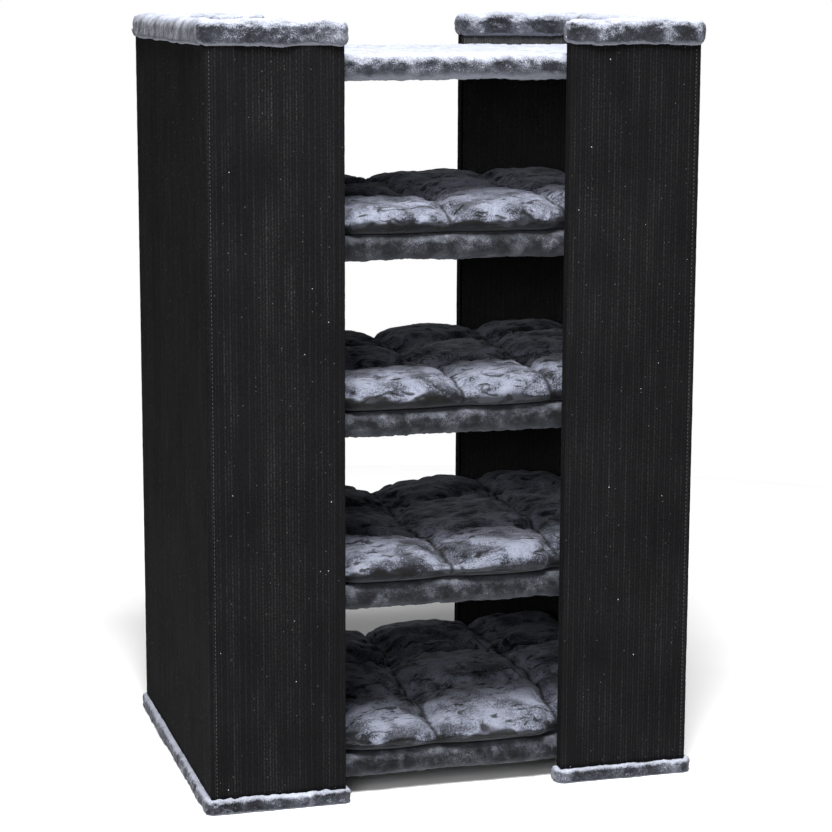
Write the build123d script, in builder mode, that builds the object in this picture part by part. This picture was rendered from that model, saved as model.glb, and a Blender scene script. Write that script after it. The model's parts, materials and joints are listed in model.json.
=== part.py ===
"""Tower-shaped cat tree: two U-section columns joined by five plush shelves, four with cushions.

The origin is on the floor, at the middle of the tower's footprint. +X points to the right column,
+Y to the back and +Z up. All sizes are in millimetres.
"""

from build123d import *
import os

# ---------------------------------------------------------------- driving dimensions

# Columns: a side wall with a front and a back flange each, in a U that opens to the middle
tower_height = 1200.0        # floor to the top of the rims
tower_width = 776.0          # left to right, over the sisal
tower_depth = 586.0          # front to back, over the sisal
flange_reach = 212.0         # a column's outer face to the free edge of its flanges
wall_board = 16.0            # chipboard of the walls
sisal_thickness = 3.5        # ribbed sisal on the outside
lining_thickness = 3.5       # dark carpet on the inside
corner_radius = 5.0          # sisal bent round an outer corner

# Base strip under each column
base_board = 15.0            # chipboard of the strip
base_overhang = 2.0          # strip's board beyond both faces of the wall
base_pile_flat = 3.5         # plush pressed flat above and below the board
base_pile_edge = 7.0         # plush round the board's edges
base_edge_radius = 3.0

# Plush rim over the top edges of the walls
rim_pile = 7.0               # plush over the top and down both faces
rim_band = 39.0              # height of the band
rim_end_radius = 12.0        # rounded ends of the strips
rim_edge_radius = 5.0        # rounded top edges
rim_fit = 0.05               # rim to the wall that it wraps

# Shelves, equally spaced between the lowest and the top one
shelf_count = 5
lowest_underside = 28.0      # floor to the lowest shelf
tray_depth = 54.0            # top of the rims to the top shelf's upper face
shelf_board = 22.0
shelf_pile = 8.0             # plush above, below, in front of and behind the board
shelf_fit = 0.5              # shelf to the linings

# Cushions on every shelf but the top one
cushion_height = 66.0
cushion_fit = 1.0            # cushion to the linings
cushion_lift_gap = 0.3       # cushion to the shelf under it
cushion_corner_radius = 40.0
cushion_edge_radius = 22.0
cover_thickness = 4.0        # plush cover round the filling

# Countersunk screws, all with 90 degree heads
screw_clearance = 0.05
corner_screw_radius = 3.2
corner_screw_head = 5.5
corner_screw_length = 50.0
corner_screw_rows = 5
corner_screw_end = 60.0      # first and last row from the ends of the wall
base_screw_radius = 2.2
base_screw_head = 4.2
base_screw_length = 45.0
base_screw_side_spacing = 190.0
base_screw_flange_spacing = 80.0

# Shelf fixings: cam bolts, the cams that draw them in, and plain dowels
fixing_clearance = 0.1
cam_spacing = 340.0          # the two cams of a shelf end, front to back
cam_inset = 24.0             # cam's axis from the shelf's end
cam_radius = 7.5
cam_roof = 2.0               # cam above the head of its bolt
cam_slot_width = 1.6         # cross recess for a screwdriver
cam_slot_length = 9.0
cam_slot_depth = 2.0
cam_access_margin = 1.5      # opening in the plush round a cam
bolt_radius = 2.5
bolt_head_radius = 3.4
bolt_head_length = 3.0
dowel_spacing = 200.0
dowel_radius = 4.0
dowel_length = 30.0
dowel_chamfer = 1.0
blind_margin = 5.0           # wood left behind a blind hole in a wall

# ---------------------------------------------------------------- sizes that follow from them

wall_thickness = sisal_thickness + wall_board + lining_thickness
half_width = tower_width / 2
half_depth = tower_depth / 2
board_half_depth = half_depth - sisal_thickness
inner_half_width = half_width - wall_thickness
inner_half_depth = half_depth - wall_thickness
flange_edge = half_width - flange_reach

base_board_underside = base_pile_flat
base_board_top = base_board_underside + base_board
base_top = base_board_top + base_pile_flat
base_margin = base_overhang + base_pile_edge
wall_top = tower_height - rim_pile

shelf_height = shelf_board + 2 * shelf_pile
top_underside = tower_height - tray_depth - shelf_height
shelf_pitch = (top_underside - lowest_underside) / (shelf_count - 1)
shelf_half_width = inner_half_width - shelf_fit
shelf_half_depth = inner_half_depth - shelf_fit
lowest_board_middle = lowest_underside + shelf_height / 2
fixing_middle = lowest_board_middle + shelf_pitch * (shelf_count - 1) / 2

blind_depth = wall_board - blind_margin
cam_height = shelf_board / 2 + bolt_head_radius + cam_roof
cam_axis = shelf_half_width - cam_inset

os.makedirs("parts", exist_ok=True)


def keep(piece, name):
    """Labels a finished piece and writes it."""
    piece.part.label = name
    export_step(piece.part, f"parts/{name}.step")


def area(x_values, y_values, mode=Mode.ADD):
    """A rectangle between two x and two y values, in the sketch that is open."""
    x_low, x_high = sorted(x_values)
    y_low, y_high = sorted(y_values)
    with Locations(((x_low + x_high) / 2, (y_low + y_high) / 2)):
        Rectangle(x_high - x_low, y_high - y_low, mode=mode)


def u_section(side, skin_out=0.0, skin_end=0.0, skin_in=0.0):
    """A column's wall in plan, each of its faces moved into the wall by a skin's thickness.

    side is -1 for the left column and +1 for the right one.
    """
    area(
        (side * (half_width - skin_out), side * (flange_edge + skin_end)),
        (-half_depth + skin_out, half_depth - skin_out),
    )
    area(
        (side * (inner_half_width + skin_in), side * (flange_edge - skin_end)),
        (-inner_half_depth - skin_in, inner_half_depth + skin_in),
        mode=Mode.SUBTRACT,
    )


def board_section(side):
    """The wall's chipboard in plan, between the sisal and the lining."""
    u_section(side, sisal_thickness, sisal_thickness, lining_thickness)


def countersunk_screw(radius, head_radius, length):
    """A screw along -Z, the face of its head at the origin."""
    with BuildPart() as screw:
        with BuildSketch(Plane.XZ):
            with BuildLine():
                Polyline(
                    (0, 0),
                    (head_radius, 0),
                    (radius, radius - head_radius),
                    (radius, radius - length),
                    (0, -length),
                    close=True,
                )
            make_face()
        revolve(axis=Axis.Z)
    return screw.part


# ---------------------------------------------------------------- places of the fasteners


def corner_screw_places(side):
    """Heads on the side board's outer face, the screws running into the flanges' edges."""
    rows = (wall_top - base_board_top - 2 * corner_screw_end) / (corner_screw_rows - 1)
    face = Plane(
        origin=(side * (half_width - sisal_thickness), 0, (wall_top + base_board_top) / 2),
        x_dir=(0, 1, 0),
        z_dir=(side, 0, 0),
    )
    columns = 2 * (board_half_depth - wall_board / 2)
    with Locations(face):
        with GridLocations(columns, rows, 2, corner_screw_rows) as grid:
            return grid.locations


def base_screw_places(side):
    """Heads in the underside of the base board, the screws running up into the walls."""
    side_middle = side * (half_width - sisal_thickness - wall_board / 2)
    flange_middle = side * (half_width - flange_reach / 2)
    underside = Plane(origin=(0, 0, base_board_underside), x_dir=(1, 0, 0), z_dir=(0, 0, -1))
    rows = 2 * (board_half_depth - wall_board / 2)
    with Locations(underside):
        with Locations((side_middle, 0)):
            with GridLocations(1, base_screw_side_spacing, 1, 3) as under_side:
                places = list(under_side.locations)
        with Locations((flange_middle, 0)):
            with GridLocations(base_screw_flange_spacing, rows, 2, 2) as under_flanges:
                places += under_flanges.locations
    return places


def fixing_grid(spacing):
    """Two fixings for each shelf, on the sketch plane of a column's inner face."""
    with Locations((0, fixing_middle)):
        with GridLocations(spacing, shelf_pitch, 2, shelf_count) as grid:
            return grid.local_locations


# ---------------------------------------------------------------- columns


def build_side_board(side, name):
    """Full-depth side wall, drilled for corner screws, base screws and shelf fixings."""
    with BuildPart() as side_board:
        with BuildSketch(Plane.XY.offset(base_board_top)):
            area(
                (side * (half_width - sisal_thickness), side * (inner_half_width + lining_thickness)),
                (-board_half_depth, board_half_depth),
            )
        extrude(amount=wall_top - base_board_top)
        with Locations(*corner_screw_places(side)):
            CounterSinkHole(
                corner_screw_radius + screw_clearance,
                corner_screw_head + screw_clearance,
                depth=wall_board,
                counter_sink_angle=90,
            )
        with Locations(*base_screw_places(side)):
            Hole(base_screw_radius + screw_clearance, depth=base_screw_length + screw_clearance)
        inner_face = Plane.YZ.offset(side * (inner_half_width + lining_thickness))
        with BuildSketch(inner_face):
            with Locations(*fixing_grid(cam_spacing)):
                Circle(bolt_radius + fixing_clearance)
            with Locations(*fixing_grid(dowel_spacing)):
                Circle(dowel_radius + fixing_clearance)
        extrude(amount=side * blind_depth, mode=Mode.SUBTRACT)
    keep(side_board, name)


def build_flange_board(side, front, name):
    """Front (-1) or back (+1) flange, which butts against the side board."""
    with BuildPart() as flange_board:
        with BuildSketch(Plane.XY.offset(base_board_top)):
            area(
                (side * (inner_half_width + lining_thickness), side * (flange_edge + sisal_thickness)),
                (front * board_half_depth, front * (board_half_depth - wall_board)),
            )
        extrude(amount=wall_top - base_board_top)
        with Locations(*corner_screw_places(side)):
            Hole(corner_screw_radius + screw_clearance, depth=corner_screw_length + screw_clearance)
        with Locations(*base_screw_places(side)):
            Hole(base_screw_radius + screw_clearance, depth=base_screw_length + screw_clearance)
    keep(flange_board, name)


def build_sisal_cover(side, name):
    """Ribbed sisal over the outer faces of the walls and round the flanges' free edges."""
    with BuildPart() as sisal_cover:
        with BuildSketch(Plane.XY.offset(base_top)):
            u_section(side)
            area(
                (side * (half_width - sisal_thickness), side * (flange_edge + sisal_thickness)),
                (-board_half_depth, board_half_depth),
                mode=Mode.SUBTRACT,
            )
        extrude(amount=wall_top - base_top)
        uprights = sisal_cover.edges().filter_by(Axis.Z)
        fillet(uprights.group_by(Axis.X)[0 if side < 0 else -1], radius=corner_radius)
    keep(sisal_cover, name)


def build_sisal_lining(side, name):
    """Carpet on the inner faces of the walls, pierced by the shelf fixings."""
    with BuildPart() as sisal_lining:
        with BuildSketch(Plane.XY.offset(base_top)):
            area(
                (side * (inner_half_width + lining_thickness), side * (flange_edge + sisal_thickness)),
                (-inner_half_depth - lining_thickness, inner_half_depth + lining_thickness),
            )
            area(
                (side * inner_half_width, side * flange_edge),
                (-inner_half_depth, inner_half_depth),
                mode=Mode.SUBTRACT,
            )
        extrude(amount=wall_top - base_top)
        with BuildSketch(Plane.YZ.offset(side * inner_half_width)):
            with Locations(*fixing_grid(cam_spacing)):
                Circle(bolt_radius + fixing_clearance)
            with Locations(*fixing_grid(dowel_spacing)):
                Circle(dowel_radius + fixing_clearance)
        extrude(amount=side * lining_thickness, mode=Mode.SUBTRACT)
    keep(sisal_lining, name)


def build_base_board(side, name):
    """U-shaped chipboard strip under the column, countersunk from below."""
    with BuildPart() as strip:
        with BuildSketch(Plane.XY.offset(base_board_underside)):
            u_section(side)
            offset(amount=base_overhang, kind=Kind.INTERSECTION)
        extrude(amount=base_board)
        with Locations(*base_screw_places(side)):
            CounterSinkHole(
                base_screw_radius + screw_clearance,
                base_screw_head + screw_clearance,
                depth=base_board,
                counter_sink_angle=90,
            )
    keep(strip, name)


def build_base_plush(side, name):
    """Plush wrapped round the base strip, open where the wall boards stand on the strip."""
    with BuildPart() as base_plush:
        with BuildSketch():
            u_section(side)
            offset(amount=base_margin, kind=Kind.ARC)
        extrude(amount=base_top)
        fillet(base_plush.edges().group_by(Axis.Z)[-1], radius=base_edge_radius)
        with BuildSketch(Plane.XY.offset(base_board_underside)):
            u_section(side)
            offset(amount=base_overhang, kind=Kind.INTERSECTION)
        extrude(amount=base_board, mode=Mode.SUBTRACT)
        with BuildSketch(Plane.XY.offset(base_board_top)):
            board_section(side)
        extrude(amount=base_pile_flat, mode=Mode.SUBTRACT)
        with Locations(*base_screw_places(side)):
            Cylinder(
                base_screw_head + screw_clearance,
                base_pile_flat,
                align=(Align.CENTER, Align.CENTER, Align.MIN),
                mode=Mode.SUBTRACT,
            )
    keep(base_plush, name)


def build_rim(side, x_values, y_values, end_radius, name):
    """Plush strip over the top edge of a wall, between two x and two y values."""
    x_low, x_high = sorted(x_values)
    y_low, y_high = sorted(y_values)
    with BuildPart() as rim:
        with BuildSketch(Plane.XY.offset(tower_height - rim_band)):
            with Locations(((x_low + x_high) / 2, (y_low + y_high) / 2)):
                RectangleRounded(x_high - x_low, y_high - y_low, end_radius)
        extrude(amount=rim_band)
        fillet(rim.edges().group_by(Axis.Z)[-1], radius=rim_edge_radius)
        with BuildSketch(Plane.XY.offset(tower_height - rim_band)):
            u_section(side)
            offset(amount=rim_fit, kind=Kind.INTERSECTION)
        extrude(amount=rim_band - rim_pile, mode=Mode.SUBTRACT)
    keep(rim, name)


def build_rims(side, prefix):
    """Front and back strips run out to the corners, and the side strip butts between them."""
    outer = side * (half_width + rim_pile)
    across = (outer, side * (flange_edge - rim_pile))
    strip_inner = inner_half_depth - rim_pile
    for front, face in ((-1, "front"), (1, "back")):
        along = (front * (half_depth + rim_pile), front * strip_inner)
        build_rim(side, across, along, rim_end_radius, f"{prefix}_{face}_rim")
    side_across = (outer, side * (inner_half_width - rim_pile))
    side_along = (-strip_inner, strip_inner)
    build_rim(side, side_across, side_along, rim_edge_radius, f"{prefix}_side_rim")


def build_screws(places, radius, head_radius, length, name):
    """A group of identical screws, one separate solid each."""
    screw = countersunk_screw(radius, head_radius, length)
    with BuildPart() as screws:
        with Locations(*places):
            add(screw)
    keep(screws, name)


def build_column(side, prefix):
    """Every piece of one column."""
    build_side_board(side, f"{prefix}_side_board")
    build_flange_board(side, -1, f"{prefix}_front_board")
    build_flange_board(side, 1, f"{prefix}_back_board")
    build_sisal_cover(side, f"{prefix}_sisal_cover")
    build_sisal_lining(side, f"{prefix}_lining")
    build_base_board(side, f"{prefix}_base_board")
    build_base_plush(side, f"{prefix}_base_plush")
    build_rims(side, prefix)
    build_screws(
        corner_screw_places(side),
        corner_screw_radius,
        corner_screw_head,
        corner_screw_length,
        f"{prefix}_corner_screws",
    )
    build_screws(
        base_screw_places(side),
        base_screw_radius,
        base_screw_head,
        base_screw_length,
        f"{prefix}_base_screws",
    )


# ---------------------------------------------------------------- shelves


def build_shelf_board(underside, name):
    """Chipboard of one shelf, drilled for the fixings at both ends."""
    board_underside = underside + shelf_pile
    board_middle = board_underside + shelf_board / 2
    with BuildPart() as board:
        with BuildSketch(Plane.XY.offset(board_underside)):
            Rectangle(2 * shelf_half_width, 2 * (shelf_half_depth - shelf_pile))
        extrude(amount=shelf_board)
        with BuildSketch(Plane.XY.offset(board_underside)):
            with GridLocations(2 * cam_axis, cam_spacing, 2, 2):
                Circle(cam_radius + fixing_clearance)
        extrude(amount=cam_height + fixing_clearance, mode=Mode.SUBTRACT)
        for side in (-1, 1):
            with BuildSketch(Plane.YZ.offset(side * shelf_half_width)):
                with Locations((0, board_middle)):
                    with GridLocations(cam_spacing, 1, 2, 1):
                        Circle(bolt_head_radius + fixing_clearance)
            extrude(amount=-side * cam_inset, mode=Mode.SUBTRACT)
            with BuildSketch(Plane.YZ.offset(side * shelf_half_width)):
                with Locations((0, board_middle)):
                    with GridLocations(dowel_spacing, 1, 2, 1):
                        Circle(dowel_radius + fixing_clearance)
            extrude(amount=-side * (dowel_length - blind_depth), mode=Mode.SUBTRACT)
    keep(board, name)


def build_shelf_plush(underside, name):
    """Plush sleeve round one shelf, open at both ends and under each cam."""
    with BuildPart() as plush:
        with BuildSketch(Plane.YZ.offset(-shelf_half_width)):
            with Locations((0, underside + shelf_height / 2)):
                RectangleRounded(2 * shelf_half_depth, shelf_height, shelf_pile)
                Rectangle(2 * (shelf_half_depth - shelf_pile), shelf_board, mode=Mode.SUBTRACT)
        extrude(amount=2 * shelf_half_width)
        with BuildSketch(Plane.XY.offset(underside)):
            with GridLocations(2 * cam_axis, cam_spacing, 2, 2):
                Circle(cam_radius + cam_access_margin)
        extrude(amount=shelf_pile, mode=Mode.SUBTRACT)
    keep(plush, name)


def shelf_fixing_places(side, spacing, distance):
    """Places along +X or -X into a shelf's end, at a distance from the middle of the tower."""
    plane = Plane(origin=(side * distance, 0, 0), x_dir=(0, side, 0), z_dir=(side, 0, 0))
    grid = fixing_grid(spacing)
    with Locations(plane):
        with Locations(*grid) as places:
            return places.locations


def build_cam_bolts():
    """Bolts from the side boards into the cams, headed at the cam's axis."""
    tip = inner_half_width + lining_thickness + blind_depth
    length = tip - cam_axis + bolt_head_length / 2
    with BuildPart() as bolt:
        Cylinder(bolt_head_radius, bolt_head_length, align=(Align.CENTER, Align.CENTER, Align.MIN))
        Cylinder(bolt_radius, length, align=(Align.CENTER, Align.CENTER, Align.MIN))
    with BuildPart() as cam_bolts:
        for side in (-1, 1):
            with Locations(*shelf_fixing_places(side, cam_spacing, cam_axis - bolt_head_length / 2)):
                add(bolt.part)
    keep(cam_bolts, "cam_bolts")


def build_dowels():
    """Plain dowels that locate each shelf in the side boards."""
    tip = inner_half_width + lining_thickness + blind_depth
    with BuildPart() as dowel:
        Cylinder(dowel_radius, dowel_length, align=(Align.CENTER, Align.CENTER, Align.MAX))
        chamfer(dowel.edges(), dowel_chamfer)
    with BuildPart() as dowels:
        for side in (-1, 1):
            with Locations(*shelf_fixing_places(side, dowel_spacing, tip)):
                add(dowel.part)
    keep(dowels, "dowels")


def build_cam_locks():
    """Cams in the underside of the shelves, each open on the side that its bolt enters."""
    bolt_height = shelf_board / 2
    with BuildPart() as cam:
        Cylinder(cam_radius, cam_height, align=(Align.CENTER, Align.CENTER, Align.MIN))
        with BuildSketch(Plane.YZ.offset(-bolt_head_length)):
            with Locations((0, bolt_height)):
                Circle(bolt_head_radius + fixing_clearance)
        extrude(amount=cam_radius + bolt_head_length, mode=Mode.SUBTRACT)
        with BuildSketch():
            Rectangle(cam_slot_length, cam_slot_width)
            Rectangle(cam_slot_width, cam_slot_length)
        extrude(amount=cam_slot_depth, mode=Mode.SUBTRACT)
    with BuildPart() as cam_locks:
        for number in range(shelf_count):
            underside = lowest_underside + number * shelf_pitch + shelf_pile
            for side, turn in ((-1, 180), (1, 0)):
                with Locations(Plane.XY.offset(underside)):
                    with Locations((side * cam_axis, 0)):
                        with GridLocations(1, cam_spacing, 1, 2):
                            add(cam.part, rotation=(0, 0, turn))
    keep(cam_locks, "cam_locks")


# ---------------------------------------------------------------- cushions


def cushion_body(underside, skin):
    """A padded block on a shelf, all of its faces moved inwards by a skin's thickness."""
    with BuildPart() as block:
        with BuildSketch(Plane.XY.offset(underside + skin)):
            RectangleRounded(
                2 * (inner_half_width - cushion_fit - skin),
                2 * (inner_half_depth - cushion_fit - skin),
                cushion_corner_radius - skin,
            )
        extrude(amount=cushion_height - 2 * skin)
        ends = block.edges().group_by(Axis.Z)
        fillet(ends[0] + ends[-1], radius=cushion_edge_radius - skin)
    return block.part


def build_cushion(shelf_underside, number):
    """A cushion's cover and the filling that it holds."""
    underside = shelf_underside + shelf_height + cushion_lift_gap
    with BuildPart() as filling:
        add(cushion_body(underside, cover_thickness))
    with BuildPart() as cover:
        add(cushion_body(underside, 0))
        add(filling.part, mode=Mode.SUBTRACT)
    keep(cover, f"cushion_{number}_cover")
    keep(filling, f"cushion_{number}_filling")


# ---------------------------------------------------------------- the whole tower

build_column(-1, "left")
build_column(1, "right")

# Shelf 1 is the top one, and cushion 1 lies on the shelf below it.
for step in range(shelf_count):
    number = shelf_count - step
    shelf_underside = lowest_underside + step * shelf_pitch
    build_shelf_board(shelf_underside, f"shelf_{number}_board")
    build_shelf_plush(shelf_underside, f"shelf_{number}_plush")
    if number > 1:
        build_cushion(shelf_underside, number - 1)

build_cam_bolts()
build_cam_locks()
build_dowels()
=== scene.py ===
"""Looks of a tower-shaped cat tree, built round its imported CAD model.

The sisal, the lining, every plush wrap and the cushions are modelled here as real surfaces, in metres,
and take their places from the CAD nodes that they stand for. Boards and fixings stay as packed.
"""

import itertools
import json
import math

import bmesh
import bpy
import numpy as np
from mathutils import Matrix, Vector


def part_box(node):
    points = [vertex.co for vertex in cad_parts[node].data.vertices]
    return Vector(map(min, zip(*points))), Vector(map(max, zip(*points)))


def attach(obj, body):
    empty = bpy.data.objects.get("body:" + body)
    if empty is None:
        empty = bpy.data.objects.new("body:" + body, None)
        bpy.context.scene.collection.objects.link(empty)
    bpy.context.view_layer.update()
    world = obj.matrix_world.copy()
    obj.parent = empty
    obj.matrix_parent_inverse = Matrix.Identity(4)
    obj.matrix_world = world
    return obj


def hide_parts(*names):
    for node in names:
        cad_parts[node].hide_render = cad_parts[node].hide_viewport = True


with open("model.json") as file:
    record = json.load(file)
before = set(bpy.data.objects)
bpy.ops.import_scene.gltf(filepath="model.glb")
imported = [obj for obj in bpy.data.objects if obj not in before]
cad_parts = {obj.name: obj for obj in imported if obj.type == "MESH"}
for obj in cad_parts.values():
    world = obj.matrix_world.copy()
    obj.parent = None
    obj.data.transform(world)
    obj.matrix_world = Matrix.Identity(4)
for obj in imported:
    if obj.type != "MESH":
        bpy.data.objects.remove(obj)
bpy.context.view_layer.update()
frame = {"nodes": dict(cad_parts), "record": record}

SIDES = {"left": -1.0, "right": 1.0}
SHELVES = range(1, 6)
CUSHIONS = range(1, 5)

# ---------------------------------------------------------------- camera, light and floor

CAMERA_PLACE = (-1.058, -3.745, 1.256)
CAMERA_YAW, CAMERA_PITCH, CAMERA_ROLL = math.radians(16.04), math.radians(10.29), math.radians(0.2)
CAMERA_LENS_MM, CAMERA_SENSOR_MM = 104.0, 36.0
SURROUND_LIGHT = 0.30
SOFTBOX_SIZE = 1.6
HIGH_SOFTBOX_W, FRONT_SOFTBOX_W = 430.0, 55.0
FLOOR_RADIUS = 2.3


def add_camera():
    """The camera looks slightly down on the tower from the front left."""
    forward = Vector(
        (
            math.sin(CAMERA_YAW) * math.cos(CAMERA_PITCH),
            math.cos(CAMERA_YAW) * math.cos(CAMERA_PITCH),
            -math.sin(CAMERA_PITCH),
        )
    )
    level = Vector((math.cos(CAMERA_YAW), -math.sin(CAMERA_YAW), 0.0))
    upright = level.cross(forward)
    right = level * math.cos(CAMERA_ROLL) + upright * math.sin(CAMERA_ROLL)
    up = upright * math.cos(CAMERA_ROLL) - level * math.sin(CAMERA_ROLL)
    data = bpy.data.cameras.new("camera")
    data.lens, data.sensor_width = CAMERA_LENS_MM, CAMERA_SENSOR_MM
    camera = bpy.data.objects.new("camera", data)
    turn = Matrix((right, up, -forward)).transposed()
    camera.matrix_world = Matrix.Translation(CAMERA_PLACE) @ turn.to_4x4()
    bpy.context.scene.collection.objects.link(camera)
    bpy.context.scene.camera = camera


def add_softbox(name, place, target, power):
    """A square area light at a place, turned to a target."""
    data = bpy.data.lights.new(name, "AREA")
    data.size, data.energy = SOFTBOX_SIZE, power
    lamp = bpy.data.objects.new(name, data)
    lamp.location = place
    lamp.rotation_euler = (Vector(target) - Vector(place)).to_track_quat("-Z", "Y").to_euler()
    bpy.context.scene.collection.objects.link(lamp)


def add_surround():
    """A white surround that the camera sees at full brightness and that lights the tower softly."""
    world = bpy.data.worlds.new("surround")
    world.use_nodes = True
    tree = world.node_tree
    seen = tree.nodes.new("ShaderNodeLightPath").outputs["Is Camera Ray"]
    strength = tree.nodes.new("ShaderNodeMapRange")
    strength.inputs["To Min"].default_value = SURROUND_LIGHT
    tree.links.new(seen, strength.inputs["Value"])
    background = tree.nodes["Background"]
    background.inputs["Color"].default_value = (1.0, 1.0, 1.0, 1.0)
    tree.links.new(strength.outputs["Result"], background.inputs["Strength"])
    bpy.context.scene.world = world


def add_studio():
    """A white surround, a strong softbox high in front, a weak one lower down and a pale floor."""
    add_surround()
    bpy.context.scene.view_settings.view_transform = "Standard"
    add_softbox("high_softbox", (-0.5, -1.9, 4.2), (0.0, 0.0, 0.7), HIGH_SOFTBOX_W)
    add_softbox("front_softbox", (-2.0, -3.4, 1.8), (0.0, 0.0, 0.6), FRONT_SOFTBOX_W)
    bpy.ops.mesh.primitive_circle_add(vertices=96, radius=FLOOR_RADIUS, fill_type="NGON")
    floor = bpy.context.object
    floor.name = "floor"
    floor.data.materials.append(plain_material("floor_white", (0.9, 0.9, 0.9), 0.9))


# ---------------------------------------------------------------- noise

HASH_X, HASH_Y, HASH_Z, HASH_MIX = 73856093, 19349663, 83492791, 1274126177
SEED_SHIFT = 17.3            # cells between the noise of one seed and the next


def noise(points, size, seed):
    """Smooth noise from -1 to 1 whose cells are size metres across."""
    places = np.asarray(points, float) / size + seed * SEED_SHIFT
    base = np.floor(places).astype(np.int64)
    part = places - base
    part = part * part * (3.0 - 2.0 * part)
    total = np.zeros(len(places))
    for corner in itertools.product((0, 1), repeat=3):
        cell = base + np.array(corner)
        code = (cell[:, 0] * HASH_X) ^ (cell[:, 1] * HASH_Y) ^ (cell[:, 2] * HASH_Z)
        code = (code ^ (code >> 13)) * HASH_MIX
        value = ((code ^ (code >> 16)) & 0xFFFF) / 32767.5 - 1.0
        weight = np.prod(np.where(corner, part, 1.0 - part), axis=1)
        total += weight * value
    return total


def layered_noise(points, size, seed, layers=3):
    """Noise with finer and weaker layers on top of each other."""
    total = np.zeros(len(points))
    for layer in range(layers):
        total += noise(points, size / 2**layer, seed + layer) / 2**layer
    return total


# ---------------------------------------------------------------- meshes


def rounded_path(corners, radii, spacing, closed=True):
    """Points along straight runs joined by arcs, and the normal to the right of the way at each."""
    corners = [Vector(c) for c in corners]
    count = len(corners)
    stops = []
    for i, (corner, radius) in enumerate(zip(corners, radii)):
        if not closed and i in (0, count - 1):
            stops.append([corner])
            continue
        back = (corners[i - 1] - corner).normalized()
        ahead = (corners[(i + 1) % count] - corner).normalized()
        turn = math.pi - back.angle(ahead)
        if radius == 0.0:
            stops.append([corner])
            continue
        reach = radius * math.tan(turn / 2.0)
        centre = corner + (back + ahead).normalized() * (radius / math.cos(turn / 2.0))
        first = corner + back * reach - centre
        last = corner + ahead * reach - centre
        steps = max(2, round(radius * turn / spacing))
        arc = []
        for step in range(steps + 1):
            share = step / steps
            across = first * math.sin((1.0 - share) * turn) + last * math.sin(share * turn)
            arc.append(centre + across / math.sin(turn))
        stops.append(arc)
    points = []
    for i, stop in enumerate(stops):
        points += stop
        if not closed and i == count - 1:
            break
        goal = stops[(i + 1) % count][0]
        run = goal - stop[-1]
        steps = max(1, round(run.length / spacing))
        points += [stop[-1] + run * (step / steps) for step in range(1, steps)]
    points = np.array([tuple(p) for p in points])
    if closed:
        along = np.roll(points, -1, axis=0) - np.roll(points, 1, axis=0)
    else:
        along = np.gradient(points, axis=0)
    along /= np.linalg.norm(along, axis=1)[:, None]
    return points, np.stack([along[:, 1], -along[:, 0]], axis=1)


def ring_faces(rings, points, closed=True):
    """Quads between neighbouring rings of a grid of points."""
    ring = np.arange(rings - 1)[:, None] * points
    here = np.arange(points if closed else points - 1)[None, :]
    ahead = (here + 1) % points
    faces = np.stack([ring + here, ring + ahead, ring + points + ahead, ring + points + here], axis=-1)
    return faces.reshape(-1, 4).tolist()


def new_piece(name, points, faces, body="tower"):
    """A smooth-shaded mesh object with outward normals, riding on a body."""
    mesh = bpy.data.meshes.new(name)
    mesh.from_pydata(np.asarray(points).tolist(), [], faces)
    work = bmesh.new()
    work.from_mesh(mesh)
    bmesh.ops.recalc_face_normals(work, faces=work.faces)
    work.to_mesh(mesh)
    work.free()
    piece = bpy.data.objects.new(name, mesh)
    bpy.context.scene.collection.objects.link(piece)
    mesh.polygons.foreach_set("use_smooth", [True] * len(mesh.polygons))
    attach(piece, body)
    return piece


def skin(name, rings, body="tower"):
    """A closed mesh through closed rings of equal counts, both end rings filled."""
    rings = np.asarray(rings)
    count, points = rings.shape[:2]
    faces = ring_faces(count, points)
    faces.append(list(range(points)))
    faces.append(list(range((count - 1) * points, count * points)))
    return new_piece(name, rings.reshape(-1, 3), faces, body)


def coordinates(piece):
    """A piece's points and their normals as arrays."""
    mesh = piece.data
    points = np.zeros(len(mesh.vertices) * 3)
    normals = np.zeros(len(mesh.vertices) * 3)
    mesh.vertices.foreach_get("co", points)
    mesh.vertex_normals.foreach_get("vector", normals)
    return points.reshape(-1, 3), normals.reshape(-1, 3)


def set_points(piece, points):
    """Moves a piece's points."""
    piece.data.vertices.foreach_set("co", points.ravel())
    piece.data.update()


def bake_modifiers(piece):
    """Applies a piece's modifiers to its mesh."""
    graph = bpy.context.evaluated_depsgraph_get()
    mesh = bpy.data.meshes.new_from_object(piece.evaluated_get(graph))
    piece.modifiers.clear()
    piece.data = mesh


def finish_piece(piece, material, slot, *nodes):
    """Gives a piece its material and hides the CAD nodes that it stands for. The slot is not used."""
    piece.data.materials.clear()
    piece.data.materials.append(material)
    if nodes:
        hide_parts(*nodes)


# ---------------------------------------------------------------- materials


def add_node(tree, kind, settings=None, **values):
    """A shader node with settings and input values, each a number, a colour or a link's source."""
    made = tree.nodes.new(kind)
    for name, value in (settings or {}).items():
        setattr(made, name, value)
    for name, value in values.items():
        socket = made.inputs[name.replace("_", " ")]
        if isinstance(value, bpy.types.NodeSocket):
            tree.links.new(value, socket)
        else:
            socket.default_value = value
    return made


def ramp(tree, source, stops):
    """A colour ramp through (place, colour) stops."""
    made = tree.nodes.new("ShaderNodeValToRGB")
    tree.links.new(source, made.inputs["Fac"])
    while len(made.color_ramp.elements) < len(stops):
        made.color_ramp.elements.new(0.5)
    for element, (place, colour) in zip(made.color_ramp.elements, stops):
        element.position = place
        element.color = (*colour, 1.0)
    return made.outputs["Color"]


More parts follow.
